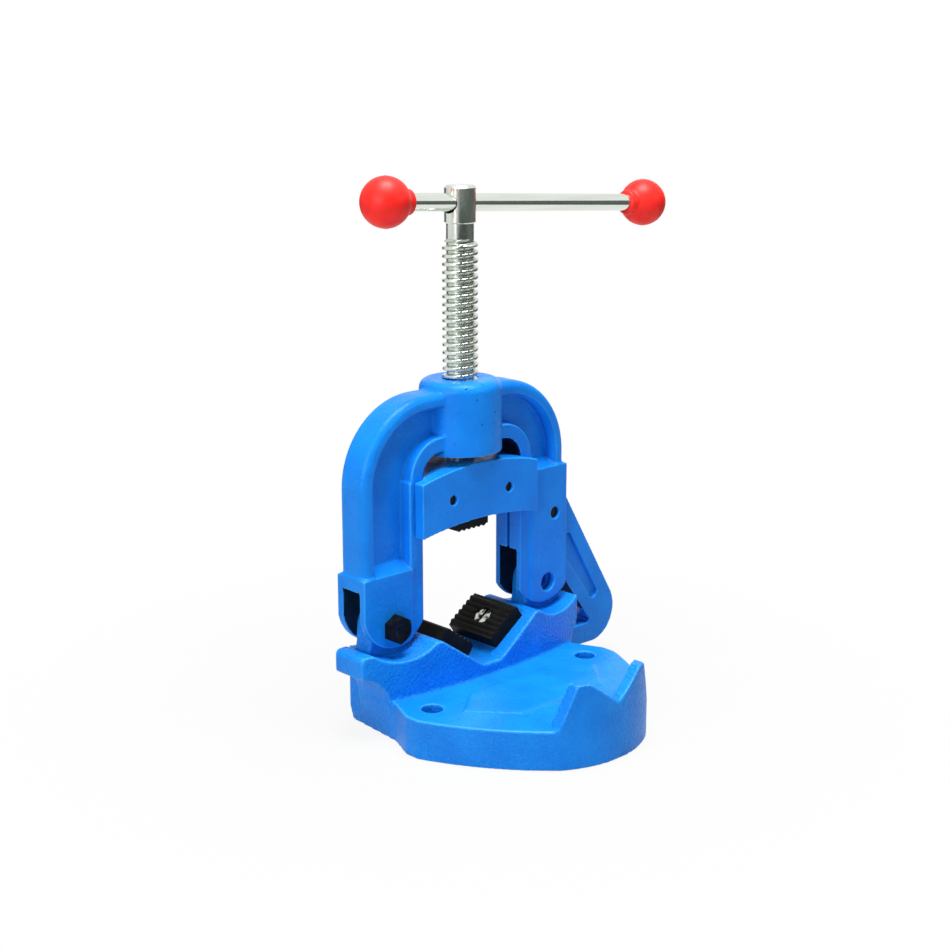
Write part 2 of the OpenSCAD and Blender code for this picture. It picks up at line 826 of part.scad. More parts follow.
// Jaw carriage: a block between the rails with a plate in front and behind, sliding up and down
module jaw_carriage() {
    color(blue)
        difference() {
            across(carriage_depth)
                difference() {
                    intersection() {
                        translate([-carriage_x, carriage_low])
                            square([2 * carriage_x, carriage_top]);
                        translate([0, carriage_top - crown_r])
                            circle(r = crown_r);
                    }
                    translate([0, carriage_low + carriage_arch - arch_r])
                        circle(r = arch_r);
                }
            both_sides()
                translate([carriage_core_x, -carriage_groove, 0])
                    cube([far, 2 * carriage_groove, far]);
            translate([-top_tongue_x - room, -top_jaw_y - room, 0])
                cube([2 * (top_tongue_x + room), 2 * (top_jaw_y + room), tongue_top + room]);
            cylinder(d = ring_d + 3, h = ring_room_top);
            cylinder(d = journal_d + 2 * run_gap, h = far);
            for (side = [-1, 1])
                crosswise(side * pin_x, pin_z, pin_d + 2 * seat_gap, carriage_depth + 2 * over);
        }
}

// Hardened upper jaw: a tongue pinned in the carriage and a narrow toothed foot
module upper_jaw() {
    count = floor(2 * top_jaw_x / tooth_pitch);
    first = -count * tooth_pitch / 2;
    color(black)
        difference() {
            union() {
                across(2 * top_jaw_y)
                    union() {
                        translate([-top_tongue_x, tongue_low])
                            square([2 * top_tongue_x, tongue_top - tongue_low]);
                        translate([-top_jaw_x, top_jaw_low + tooth_h])
                            square([2 * top_jaw_x, tongue_low - top_jaw_low]);
                        translate([first, top_jaw_low + tooth_h])
                            mirror([0, 1])
                                teeth(count);
                    }
            }
            for (side = [-1, 1])
                crosswise(side * pin_x, pin_z, pin_d + 2 * seat_gap, 2 * top_jaw_y + 2 * over);
        }
}

// Pin through the carriage plates that holds the upper jaw
module upper_jaw_pin(side) {
    color(black)
        crosswise(side * pin_x, pin_z, pin_d, carriage_depth - 2 * pin_sunk);
}

module upper_jaw_pin_left() {
    upper_jaw_pin(-1);
}

module upper_jaw_pin_right() {
    upper_jaw_pin(1);
}

// Spindle: head with a cross hole, neck, thread, and a journal with a ring groove
module spindle() {
    neck_low = spindle_top - head_len - neck_len;
    color(zinc)
        difference() {
            rotate_extrude()
                polygon([[0, spindle_end], [journal_d / 2 - 0.6, spindle_end], [journal_d / 2, spindle_end + 0.6],
                    [journal_d / 2, ring_top - ring_t - seat_gap], [groove_d / 2, ring_top - ring_t - seat_gap],
                    [groove_d / 2, ring_top + seat_gap], [journal_d / 2, ring_top + seat_gap],
                    [journal_d / 2, shoulder_low], [thread_d / 2 - 1, shoulder_low], [thread_d / 2, shoulder_low + 1],
                    [thread_d / 2, neck_low - 2], [neck_d / 2, neck_low], [neck_d / 2, spindle_top - head_len],
                    [head_d / 2, spindle_top - head_len], [head_d / 2, spindle_top - 1.2],
                    [head_d / 2 - 1.2, spindle_top], [0, spindle_top]]);
            translate([0, 0, bar_z])
                rotate([0, 90, 0])
                    cylinder(d = bar_hole_d, h = 2 * head_d, center = true);
        }
}

// Open snap ring that keeps the spindle in the carriage
module spindle_ring() {
    color(zinc)
        translate([0, 0, ring_top - ring_t])
            difference() {
                cylinder(d = ring_d, h = ring_t);
                translate([0, 0, -over])
                    cylinder(d = groove_d + 2 * seat_gap, h = ring_t + 2 * over);
                translate([-groove_d / 4, -ring_d, -over])
                    cube([groove_d / 2, ring_d, ring_t + 2 * over]);
            }
}

// Moves its children to the handle: their Z runs along the bar from the near knob to the far knob
module on_bar() {
    translate([0, 0, bar_z])
        rotate([0, 90 + bar_tilt, 0])
            children();
}

// Plain handle bar through the spindle's head
module handle_bar() {
    from = -near_reach + collar_reach - bar_seat;
    to = far_reach - collar_reach + bar_seat;
    color(zinc)
        on_bar()
            translate([0, 0, from])
                cylinder(d = bar_d, h = to - from);
}

// Ball knob with a short collar, centred on Z = 0 with the collar towards +Z
module knob() {
    color(red)
        difference() {
            rotate_extrude()
                difference() {
                    union() {
                        circle(d = knob_d);
                        square([collar_d / 2, collar_reach]);
                    }
                    translate([-far, -far / 2])
                        square([far, far]);
                }
            translate([0, 0, collar_reach - bar_seat - seat_gap])
                cylinder(d = bar_d + 2 * seat_gap, h = bar_seat + over);
        }
}

module knob_near() {
    on_bar()
        translate([0, 0, -near_reach])
            knob();
}

module knob_far() {
    on_bar()
        translate([0, 0, far_reach])
            rotate([180, 0, 0])
                knob();
}

base();
lower_jaw_left();
lower_jaw_right();
lower_jaw_screw_left();
lower_jaw_screw_right();
yoke();
hinge_bolt();
hinge_washer();
hinge_nut();
latch();
latch_pin();
jaw_carriage();
upper_jaw();
upper_jaw_pin_left();
upper_jaw_pin_right();
spindle();
spindle_ring();
handle_bar();
knob_near();
knob_far();
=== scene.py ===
import math

import bmesh
import bpy
from mathutils import Matrix, Vector


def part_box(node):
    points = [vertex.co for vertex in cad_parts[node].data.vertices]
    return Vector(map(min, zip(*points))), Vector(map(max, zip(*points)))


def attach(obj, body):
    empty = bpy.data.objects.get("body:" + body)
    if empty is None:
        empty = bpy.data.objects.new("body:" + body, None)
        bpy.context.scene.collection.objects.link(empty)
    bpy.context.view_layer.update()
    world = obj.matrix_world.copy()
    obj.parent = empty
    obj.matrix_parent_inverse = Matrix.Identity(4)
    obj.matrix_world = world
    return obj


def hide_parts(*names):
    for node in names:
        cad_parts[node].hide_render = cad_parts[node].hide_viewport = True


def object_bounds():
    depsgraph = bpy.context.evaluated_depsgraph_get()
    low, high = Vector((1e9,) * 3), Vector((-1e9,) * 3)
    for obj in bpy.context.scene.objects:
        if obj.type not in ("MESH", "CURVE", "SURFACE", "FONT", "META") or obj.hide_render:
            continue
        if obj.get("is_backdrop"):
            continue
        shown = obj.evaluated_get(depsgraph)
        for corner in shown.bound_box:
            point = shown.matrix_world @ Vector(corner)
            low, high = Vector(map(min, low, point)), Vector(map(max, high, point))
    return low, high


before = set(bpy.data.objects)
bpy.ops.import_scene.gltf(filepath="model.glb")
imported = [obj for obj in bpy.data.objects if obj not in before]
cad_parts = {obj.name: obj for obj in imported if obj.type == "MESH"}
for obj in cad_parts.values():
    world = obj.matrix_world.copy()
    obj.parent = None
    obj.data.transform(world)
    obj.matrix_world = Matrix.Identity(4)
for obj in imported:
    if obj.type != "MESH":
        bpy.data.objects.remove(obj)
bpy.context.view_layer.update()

# Cast base
# One iron casting: foot plate, V wall with two horns, hinge tongues and the notched pipe rest.
# Sand-cast and then enamelled, so every edge is soft and the skin is slightly uneven.
BLUE_LIGHT = (0.006, 0.245, 0.830, 1)
BLUE_DEEP = (0.004, 0.200, 0.750, 1)
BLUE_WORN_EDGE_HIGHLIGHT = (0.060, 0.400, 0.930, 1)
BLUE_CREVICE_SHADE = (0.001, 0.105, 0.460, 1)
EDGE_HIGHLIGHT_STARTS = 0.515
EDGE_HIGHLIGHT_FULL = 0.565
CREVICE_SHADE_STARTS = 0.488
CREVICE_SHADE_FULL = 0.445
CLOUD_LOW = 0.35
CLOUD_HIGH = 0.65
ENAMEL_CLOUDS = 55.0
ENAMEL_SPECULAR = 0.14
SHEEN_LOW = 0.3
SHEEN_HIGH = 0.7
SHEEN_PATCHES = 240.0
ENAMEL_SMOOTH = 0.26
ENAMEL_DULL = 0.38
SKIN_WAVES = 130.0
WAVE_STRENGTH = 0.35
WAVE_DEPTH = 0.0008
PIT_SPACING = 330.0
PIT_MIDDLE = 0.04
PIT_RIM = 0.13
PIT_PATCHES = 48.0
PIT_BARE_FROM = 0.42
PIT_BARE_TO = 0.50
PIT_STRENGTH = 0.7
PIT_DEPTH = 0.0008
SKIN_GRAINS = 720.0
ROUGH_STRENGTH = 0.75
ROUGH_DEPTH = 0.0011
FINE_STRENGTH = 0.4
FINE_DEPTH = 0.0006
SOFTEN = 0.5
PLATE_LEVEL = 0.024
PLATE_TOP = 0.020
PLATE_SLACK = 0.001
PLATE_UPWARD = 0.8
PANEL_HALF = 0.0475
PANEL_FRONT = -0.0755
PANEL_REAR = -0.030
HORN_INSIDE = 0.064
HORN_LOW = 0.024
HORN_FADE = 0.004


def start_material(name):
    material = bpy.data.materials.new(name)
    material.use_nodes = True
    tree = material.node_tree
    shader = tree.nodes["Principled BSDF"]
    place = tree.nodes.new("ShaderNodeTexCoord")
    return material, tree, shader, place


def add_noise(tree, place, scale, detail):
    noise = tree.nodes.new("ShaderNodeTexNoise")
    noise.inputs["Scale"].default_value = scale
    noise.inputs["Detail"].default_value = detail
    tree.links.new(place, noise.inputs["Vector"])
    return noise.outputs["Fac"]


def add_ramp(tree, source, low, high, colour_low, colour_high):
    ramp = tree.nodes.new("ShaderNodeValToRGB")
    ramp.color_ramp.elements[0].position = low
    ramp.color_ramp.elements[0].color = colour_low
    ramp.color_ramp.elements[1].position = high
    ramp.color_ramp.elements[1].color = colour_high
    tree.links.new(source, ramp.inputs["Fac"])
    return ramp.outputs["Color"]


def add_bump(tree, source, shader, strength, depth, under=None):
    bump = tree.nodes.new("ShaderNodeBump")
    bump.inputs["Strength"].default_value = strength
    bump.inputs["Distance"].default_value = depth
    tree.links.new(source, bump.inputs["Height"])
    if under is not None:
        tree.links.new(under.outputs["Normal"], bump.inputs["Normal"])
    tree.links.new(bump.outputs["Normal"], shader.inputs["Normal"])
    return bump


def grey(value):
    return (value, value, value, 1)


def add_gloss(tree, source, shader, smooth, dull):
    rough = add_ramp(tree, source, SHEEN_LOW, SHEEN_HIGH, grey(smooth), grey(dull))
    tree.links.new(rough, shader.inputs["Roughness"])


def add_pits(tree, place, spacing, bare_from, bare_to):
    cells = tree.nodes.new("ShaderNodeTexVoronoi")
    cells.inputs["Scale"].default_value = spacing
    tree.links.new(place.outputs["Object"], cells.inputs["Vector"])
    pits = add_ramp(tree, cells.outputs["Distance"], PIT_MIDDLE, PIT_RIM, grey(0.0), grey(1.0))
    patches = add_noise(tree, place.outputs["Object"], PIT_PATCHES, detail=2.0)
    spared = add_ramp(tree, patches, bare_from, bare_to, grey(0.0), grey(1.0))
    surface = tree.nodes.new("ShaderNodeMath")
    surface.operation = "MAXIMUM"
    tree.links.new(pits, surface.inputs[0])
    tree.links.new(spared, surface.inputs[1])
    return surface.outputs[0]


def add_shape_tint(tree, under, starts, full, tint):
    shape = tree.nodes.new("ShaderNodeNewGeometry")
    share = tree.nodes.new("ShaderNodeMapRange")
    share.inputs["From Min"].default_value = starts
    share.inputs["From Max"].default_value = full
    tree.links.new(shape.outputs["Pointiness"], share.inputs["Value"])
    mixed = tree.nodes.new("ShaderNodeMix")
    mixed.data_type = "RGBA"
    mixed.inputs["B"].default_value = tint
    tree.links.new(share.outputs["Result"], mixed.inputs["Factor"])
    tree.links.new(under, mixed.inputs["A"])
    return mixed.outputs["Result"]


def enamel(name, grain_strength, grain_depth):
    material, tree, shader, place = start_material(name)
    spot = place.outputs["Object"]
    clouds = add_noise(tree, spot, ENAMEL_CLOUDS, detail=5.0)
    colour = add_ramp(tree, clouds, CLOUD_LOW, CLOUD_HIGH, BLUE_DEEP, BLUE_LIGHT)
    # Convex edges are painted lighter: partly worn thin enamel, partly painted highlight.
    edge_wear_and_highlight = add_shape_tint(tree, colour, EDGE_HIGHLIGHT_STARTS, EDGE_HIGHLIGHT_FULL, BLUE_WORN_EDGE_HIGHLIGHT)
    # Hollows and inner corners are painted darker: painted shade.
    crevice_shade = add_shape_tint(tree, edge_wear_and_highlight, CREVICE_SHADE_STARTS, CREVICE_SHADE_FULL, BLUE_CREVICE_SHADE)
    tree.links.new(crevice_shade, shader.inputs["Base Color"])
    sheen = add_noise(tree, spot, SHEEN_PATCHES, detail=4.0)
    add_gloss(tree, sheen, shader, ENAMEL_SMOOTH, ENAMEL_DULL)
    waves = add_noise(tree, spot, SKIN_WAVES, detail=2.0)
    wavy = add_bump(tree, waves, shader, WAVE_STRENGTH, WAVE_DEPTH)
    pits = add_pits(tree, place, PIT_SPACING, PIT_BARE_FROM, PIT_BARE_TO)
    pitted = add_bump(tree, pits, shader, PIT_STRENGTH, PIT_DEPTH, wavy)
    grains = add_noise(tree, spot, SKIN_GRAINS, detail=3.0)
    add_bump(tree, grains, shader, grain_strength, grain_depth, pitted)
    shader.inputs["Specular IOR Level"].default_value = ENAMEL_SPECULAR
    return material


def link_piece(name, mesh, material):
    piece = bpy.data.objects.new(name, mesh)
    bpy.context.scene.collection.objects.link(piece)
    piece.data.materials.clear()
    piece.data.materials.append(material)
    return piece


def settle(piece):
    graph = bpy.context.evaluated_depsgraph_get()
    settled = bpy.data.meshes.new_from_object(piece.evaluated_get(graph))
    piece.modifiers.clear()
    piece.data = settled
    for face in settled.polygons:
        face.use_smooth = True


def soften_part(piece, name, rounds, share):
    group = piece.vertex_groups.new(name=name)
    for vertex in piece.data.vertices:
        weight = share(vertex.co)
        if weight:
            group.add([vertex.index], weight, "REPLACE")
    soften = piece.modifiers.new(name, "SMOOTH")
    soften.factor = SOFTEN
    soften.iterations = rounds
    soften.vertex_group = name


def everywhere(spot):
    return 1.0


def cast_piece(node, material, grain, rounds, keep, share=everywhere, blunt=None, blunt_rounds=0):
    piece = link_piece(node + "_casting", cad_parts[node].data.copy(), material)
    remesh = piece.modifiers.new("skin", "REMESH")
    remesh.mode = "VOXEL"
    remesh.voxel_size = grain
    settle(piece)
    soften_part(piece, "soft_edges", rounds, share)
    if blunt is not None:
        soften_part(piece, "blunt_ends", blunt_rounds, blunt)
    thin = piece.modifiers.new("thin", "DECIMATE")
    thin.ratio = keep
    settle(piece)
    piece.vertex_groups.clear()
    piece.data.materials.clear()
    piece.data.materials.append(material)
    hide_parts(node)
    return piece


def base_edges(spot):
    on_panel = abs(spot.x) < PANEL_HALF and PANEL_FRONT < spot.y < PANEL_REAR
    if on_panel and PLATE_TOP - PLATE_SLACK < spot.z < PLATE_LEVEL:
        return 0.0
    return 1.0


def base_horns(spot):
    if abs(spot.x) > HORN_INSIDE and spot.z > HORN_LOW:
        return min((abs(spot.x) - HORN_INSIDE) / HORN_FADE, 1.0)
    return 0.0


rough_enamel = enamel("rough_blue_enamel", ROUGH_STRENGTH, ROUGH_DEPTH)
smooth_enamel = enamel("smooth_blue_enamel", FINE_STRENGTH, FINE_DEPTH)
base_casting = cast_piece(
    "base", rough_enamel, grain=0.0007, rounds=6, keep=0.3,
    share=base_edges, blunt=base_horns, blunt_rounds=8,
)
base_casting.data.materials.append(smooth_enamel)
for face in base_casting.data.polygons:
    if face.normal.z > PLATE_UPWARD and face.center.z < PLATE_LEVEL:
        face.material_index = 1
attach(base_casting, "base")

# Lower jaws
# Two hardened steel plates with rows of teeth, blackened, lying on the two sides of the V.
# Each is held by one bright screw through its middle.
JAW_BLACK = (0.0035, 0.0036, 0.0032, 1)
JAW_GREY = (0.0085, 0.0086, 0.0075, 1)
JAW_EDGE = 0.00025
STEEL_CLOUDS = 180.0
STEEL_LOW = 0.35
STEEL_HIGH = 0.7
STEEL_SHEEN = 420.0
STEEL_GRAINS = 1500.0
STEEL_STRENGTH = 0.15
STEEL_DEPTH = 0.0001
BLACK_SPECULAR = 0.10
BEVEL_STEPS = 2
BEVEL_ANGLE = math.radians(35)


def dark_steel_and_shade(name, dark, light, smooth, dull, specular=BLACK_SPECULAR):
    material, tree, shader, place = start_material(name)
    spot = place.outputs["Object"]
    clouds = add_noise(tree, spot, STEEL_CLOUDS, detail=5.0)
    colour = add_ramp(tree, clouds, STEEL_LOW, STEEL_HIGH, dark, light)
    tree.links.new(colour, shader.inputs["Base Color"])
    sheen = add_noise(tree, spot, STEEL_SHEEN, detail=3.0)
    add_gloss(tree, sheen, shader, smooth, dull)
    grains = add_noise(tree, spot, STEEL_GRAINS, detail=3.0)
    add_bump(tree, grains, shader, STEEL_STRENGTH, STEEL_DEPTH)
    shader.inputs["Specular IOR Level"].default_value = specular
    return material


def finish_node(node, material, edge=0.0):
    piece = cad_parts[node]
    piece.data.materials.clear()
    piece.data.materials.append(material)
    if edge:
        bevel = piece.modifiers.new("edge", "BEVEL")
        bevel.width = edge
        bevel.segments = BEVEL_STEPS
        bevel.limit_method = "ANGLE"
        bevel.angle_limit = BEVEL_ANGLE


jaw_finish = dark_steel_and_shade("blackened_jaw_steel", JAW_BLACK, JAW_GREY, smooth=0.42, dull=0.6)
for side in ("left", "right"):
    finish_node("lower_jaw_" + side, jaw_finish, JAW_EDGE)

# Lower jaw screws
# Bright zinc-plated slotted screws, sunk in the middle of each lower jaw.
# Turned from steel bar, with dark blotches laid over much of each screw.
ZINC_DARK = (0.62, 0.66, 0.60)
ZINC_LIGHT = (0.78, 0.82, 0.76, 1)
TOOL_MARKS = 260.0
MARK_STRENGTH = 0.08
MARK_DEPTH = 0.0001
SCREW_DARK_PATCH = (0.02, 0.021, 0.018, 1)
SCREW_EDGE = 0.0002
DARK_PATCH_SCALE = 400.0
DARK_PATCH_ENDS = 0.40
BRIGHT_STARTS = 0.56
BRIGHT_SHARE = 0.85


def bright_steel(name, smooth, dull, streak, tone):
    material, tree, shader, place = start_material(name)
    stretch = tree.nodes.new("ShaderNodeMapping")
    stretch.inputs["Scale"].default_value = streak
    tree.links.new(place.outputs["Object"], stretch.inputs["Vector"])
    marks = add_noise(tree, stretch.outputs["Vector"], TOOL_MARKS, detail=5.0)
    dark = tuple(part * tone for part in ZINC_DARK) + (1,)
    colour = add_ramp(tree, marks, CLOUD_LOW, CLOUD_HIGH, dark, ZINC_LIGHT)
    tree.links.new(colour, shader.inputs["Base Color"])
    add_gloss(tree, marks, shader, smooth, dull)
    add_bump(tree, marks, shader, MARK_STRENGTH, MARK_DEPTH)
    shader.inputs["Metallic"].default_value = 1.0
    return material


def lay_over(material, darkening, plain_share):
    tree = material.node_tree
    shader = tree.nodes["Principled BSDF"]
    plain_colour = shader.inputs["Base Color"].links[0].from_socket
    mixed = tree.nodes.new("ShaderNodeMix")
    mixed.data_type = "RGBA"
    mixed.inputs["A"].default_value = darkening
    tree.links.new(plain_share, mixed.inputs["Factor"])
    tree.links.new(plain_colour, mixed.inputs["B"])
    tree.links.new(mixed.outputs["Result"], shader.inputs["Base Color"])


screw_finish = bright_steel("bright_screw_steel", smooth=0.18, dull=0.32, streak=(1, 1, 1), tone=0.9)
screw_tree = screw_finish.node_tree
screw_place = screw_tree.nodes.new("ShaderNodeTexCoord")
# Dark blotches from noise cover much of each screw; even the bright parts keep a little of the dark colour.
dark_patches = add_noise(screw_tree, screw_place.outputs["Object"], DARK_PATCH_SCALE, detail=1.0)
patch_share = add_ramp(screw_tree, dark_patches, DARK_PATCH_ENDS, BRIGHT_STARTS, grey(0.0), grey(BRIGHT_SHARE))
lay_over(screw_finish, SCREW_DARK_PATCH, patch_share)
for side in ("left", "right"):
    finish_node("lower_jaw_screw_" + side, screw_finish, SCREW_EDGE)

# Yoke
# One iron casting: a bull-nosed rim with a thin web, guide rails and a boss for the spindle.
# The pads on its legs are milled flat and slotted. It is enamelled, with grains of sand on the boss.
SLOT_SHADE_DARK = (0.003, 0.012, 0.034, 1)
SLOT_SHADE_BLUE = (0.006, 0.026, 0.070, 1)
SLOT_HALF = 0.0064
SLOT_TOP = 0.0752
LEG_INSIDE = 0.0335
ARCH_HALF = 0.0345
ARCH_LOW = 0.1250
ARCH_TOP = 0.1385
ARCH_UPWARD = 0.3
ARCH_FORWARD = 0.5
BOSS_HALF = 0.0165
BOSS_FRONT = -0.012
BOSS_LOW = 0.1420
BOSS_HIGH = 0.1720
BOSS_RADIUS = 0.0215
BOSS_DOWNWARD = -0.6
SAND_SPOTS = 230.0
SAND_BARE_FROM = 0.50
SAND_BARE_TO = 0.58
SAND_STRENGTH = 1.0
SAND_DEPTH = 0.0018
yoke_casting = cast_piece("yoke", smooth_enamel, grain=0.0006, rounds=4, keep=0.35)
# The slot walls and the underside of the arch over the carriage get a near-black blue: painted shade.
slot_and_arch_shade = dark_steel_and_shade("slot_and_arch_painted_shade", SLOT_SHADE_DARK, SLOT_SHADE_BLUE, smooth=0.5, dull=0.65)
boss_enamel = enamel("sandy_blue_enamel", FINE_STRENGTH, FINE_DEPTH)
boss_tree = boss_enamel.node_tree
boss_shader = boss_tree.nodes["Principled BSDF"]
boss_place = boss_tree.nodes.new("ShaderNodeTexCoord")
boss_skin = boss_shader.inputs["Normal"].links[0].from_node
sand_spots = add_pits(boss_tree, boss_place, SAND_SPOTS, SAND_BARE_FROM, SAND_BARE_TO)
sand_grains = add_bump(boss_tree, sand_spots, boss_shader, SAND_STRENGTH, SAND_DEPTH, boss_skin)
sand_grains.invert = True
yoke_casting.data.materials.append(slot_and_arch_shade)
yoke_casting.data.materials.append(boss_enamel)
for face in yoke_casting.data.polygons:
    spot = face.center
    in_slot = abs(spot.y) < SLOT_HALF and spot.z < SLOT_TOP and abs(spot.x) > LEG_INSIDE
    under_arch = face.normal.z < ARCH_UPWARD and abs(face.normal.y) < ARCH_FORWARD
    in_arch = abs(spot.x) < ARCH_HALF and ARCH_LOW < spot.z < ARCH_TOP and under_arch
    if math.hypot(spot.x, spot.y) < BOSS_RADIUS and face.normal.z > BOSS_DOWNWARD:
        in_arch = False
    on_boss = abs(spot.x) < BOSS_HALF and spot.y < BOSS_FRONT and BOSS_LOW < spot.z < BOSS_HIGH
    if in_slot or in_arch:
        face.material_index = 1
    elif on_boss:
        face.material_index = 2
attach(yoke_casting, "yoke")

# Hinge bolt, washer and nut
# Black M8 hexagon hardware through the hinge leg, head to the front and nut behind.
# The head is forged with a chamfer and a dished face, and the yoke swings on the shank.
BOLT_DARK = (0.003, 0.003, 0.0035, 1)
BOLT_GREY = (0.008, 0.008, 0.009, 1)
HEX_HALF = 0.0065
HEX_FACE = 0.006175
HEX_HEAD = 0.0052
HEX_SHARP = math.radians(20)
PAST_CORNERS = 1.0
CHAMFER_STEPS = 9
CHAMFER_DEPTH = 0.00075
SHANK_RADIUS = 0.004
SHANK_END = 0.0008
BOLT_SIDES = 144
DISH = ((0.0009, 0.00034), (0.0016, 0.00042), (0.0026, 0.00040), (0.0031, 0.00012), (0.0036, 0.0))
NUT_EDGE = 0.0003


def join_rings(shape, rings):
    sides = len(rings[0])
    for first, second in zip(rings, rings[1:]):
        for i in range(sides):
            j = (i + 1) % sides
            shape.faces.new((first[i], first[j], second[j], second[i]))
    shape.faces.new(list(reversed(rings[0])))
    shape.faces.new(rings[-1])


bolt_finish = dark_steel_and_shade("blackened_bolt_steel", BOLT_DARK, BOLT_GREY, smooth=0.2, dull=0.32)
bolt_low, bolt_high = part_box("hinge_bolt")
bolt_x = (bolt_low.x + bolt_high.x) / 2
bolt_z = (bolt_low.z + bolt_high.z) / 2
bolt_length = bolt_high.y - bolt_low.y
bolt_rings = [(radius, depth, False) for radius, depth in DISH]
for step in range(CHAMFER_STEPS + 1):
    depth = CHAMFER_DEPTH * step / CHAMFER_STEPS
    bolt_rings.append((HEX_FACE + 2 * depth, depth, True))
bolt_rings.append((PAST_CORNERS, HEX_HEAD, True))
bolt_rings.append((SHANK_RADIUS, HEX_HEAD, False))
bolt_rings.append((SHANK_RADIUS, bolt_length - SHANK_END, False))
bolt_rings.append((SHANK_RADIUS - SHANK_END, bolt_length, False))
bolt_mesh = bpy.data.meshes.new("hinge_bolt_forged")
bolt_shape = bmesh.new()
bolt_loops = []
for reach, depth, six_sided in bolt_rings:
    loop = []
    for i in range(BOLT_SIDES):
        turn = 2 * math.pi * i / BOLT_SIDES
        radius = reach
        if six_sided:
            flat = (turn + math.pi / 6) % (math.pi / 3) - math.pi / 6
            radius = min(reach, HEX_HALF / math.cos(flat))
        spot = (bolt_x + radius * math.cos(turn), bolt_low.y + depth, bolt_z + radius * math.sin(turn))
        loop.append(bolt_shape.verts.new(spot))
    bolt_loops.append(loop)
join_rings(bolt_shape, bolt_loops)
bmesh.ops.recalc_face_normals(bolt_shape, faces=bolt_shape.faces)
bolt_shape.to_mesh(bolt_mesh)
bolt_shape.free()
bolt_mesh.shade_smooth()
bolt_mesh.set_sharp_from_angle(angle=HEX_SHARP)
hinge_bolt = link_piece("hinge_bolt_forged", bolt_mesh, bolt_finish)
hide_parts("hinge_bolt")
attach(hinge_bolt, "yoke")
for node in ("hinge_washer", "hinge_nut"):
    finish_node(node, bolt_finish, NUT_EDGE)

# Hook latch and its pin
# A cast hook with a sunk panel on each face, hanging on a plain pin in the latch leg.
# Its inner edge near the horn is painted dark blue as painted shade, and its lip reaches in under the horn
# of the base.
HOOK_SHADE_DARK = (0.0, 0.016, 0.085, 1)
HOOK_SHADE_BLUE = (0.001, 0.030, 0.140, 1)
HOOK_SHADE_SPECULAR = 0.02
HOOK_BEND = 0.030
HOOK_NECK = 0.075
HOOK_INWARD = -0.7
EDGE_ROW = 0.002
EDGE_REACH = 0.002
latch_casting = cast_piece("latch", smooth_enamel, grain=0.0005, rounds=8, keep=0.4)
# The hook's inner edge near the horn gets a dark blue material with little specular: painted shade.
hook_edge_shade = dark_steel_and_shade("hook_edge_painted_shade", HOOK_SHADE_DARK, HOOK_SHADE_BLUE, smooth=0.5, dull=0.65, specular=HOOK_SHADE_SPECULAR)
latch_casting.data.materials.append(hook_edge_shade)
edge_faces = []
edge_places = {}
for face in latch_casting.data.polygons:
    if face.normal.x < HOOK_INWARD and HOOK_BEND < face.center.z < HOOK_NECK:
        row = round(face.center.z / EDGE_ROW)
        edge_places[row] = min(edge_places.get(row, face.center.x), face.center.x)
        edge_faces.append((face, row))
for face, row in edge_faces:
    if face.center.x < edge_places[row] + EDGE_REACH:
        face.material_index = 1
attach(latch_casting, "latch")
finish_node("latch_pin", bolt_finish)

# Jaw carriage
# A cast slide between the rails, with a plate in front of and behind them.
# The plates are ground and enamelled, and two pins hold the black upper jaw in its slot.
carriage_casting = cast_piece("jaw_carriage", smooth_enamel, grain=0.0005, rounds=3, keep=0.4)
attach(carriage_casting, "carriage")
finish_node("upper_jaw", jaw_finish, JAW_EDGE)
for side in ("left", "right"):
    finish_node("upper_jaw_pin_" + side, bolt_finish)

# Spindle
# Zinc-plated steel bar with a rolled trapezoidal thread, a turned neck and a cross-drilled head.
# The thread roots are painted darker than the crests, as painted shade. The journal turns in the carriage,
# where an open ring keeps it.
THREAD_LEAD = 0.004
THREAD_DEPTH = 0.0021
THREAD_TURN = 72
THREAD_STEP = 0.00025
THREAD_SHARP = math.radians(60)
THREAD_RUN_OUT = 0.75
ROOT_SHARE = 0.34
FLANK_SHARE = 0.32
THREAD_ROOT_SHADE = (0.50, 0.555, 0.49, 1)
ROOT_SHADE_TOP = 0.35
HEAD_LENGTH = 0.0184
HEAD_RADIUS = 0.0079
HEAD_EDGE = 0.0012
HEAD_ROUND_IN = 0.5
HEAD_ROUND_DOWN = 0.35
HEAD_UNDER_EDGE = 0.0006
HEAD_SIDES = 96
HEAD_SHARP = math.radians(30)
NECK_LENGTH = 0.0075
NECK_RADIUS = 0.0070
NECK_IN_HEAD = 0.0005
HOLE_RADIUS = 0.0048
HOLE_EDGE = 0.0005
HOLE_EDGE_DEPTH = 0.0008
HOLE_OVERCUT = 0.001
HOLE_SIDES = 64
HOLE_ABOVE_MIDDLE = 0.0008
JOURNAL_RADIUS = 0.007
JOURNAL_LENGTH = 0.0109


def add_circle(shape, radius, height, sides):
    ring = []
    for i in range(sides):
        turn = 2 * math.pi * i / sides
        ring.append(shape.verts.new((radius * math.cos(turn), radius * math.sin(turn), height)))
    return ring


def lathe(name, profile, sides, material):
    mesh = bpy.data.meshes.new(name)
    shape = bmesh.new()
    rings = [add_circle(shape, radius, height, sides) for radius, height in profile]
    join_rings(shape, rings)
    shape.to_mesh(mesh)
    shape.free()
    for face in mesh.polygons:
        face.use_smooth = True
    return link_piece(name, mesh, material)


def thread_radius(along, turn, outside):
    place = (along / THREAD_LEAD - turn / (2 * math.pi)) % 1.0
    rise = abs(place - 0.5) * 2
    blend = min(max((rise - ROOT_SHARE) / FLANK_SHARE, 0.0), 1.0)
    return outside - THREAD_DEPTH * (1 - blend * blend * (3 - 2 * blend))


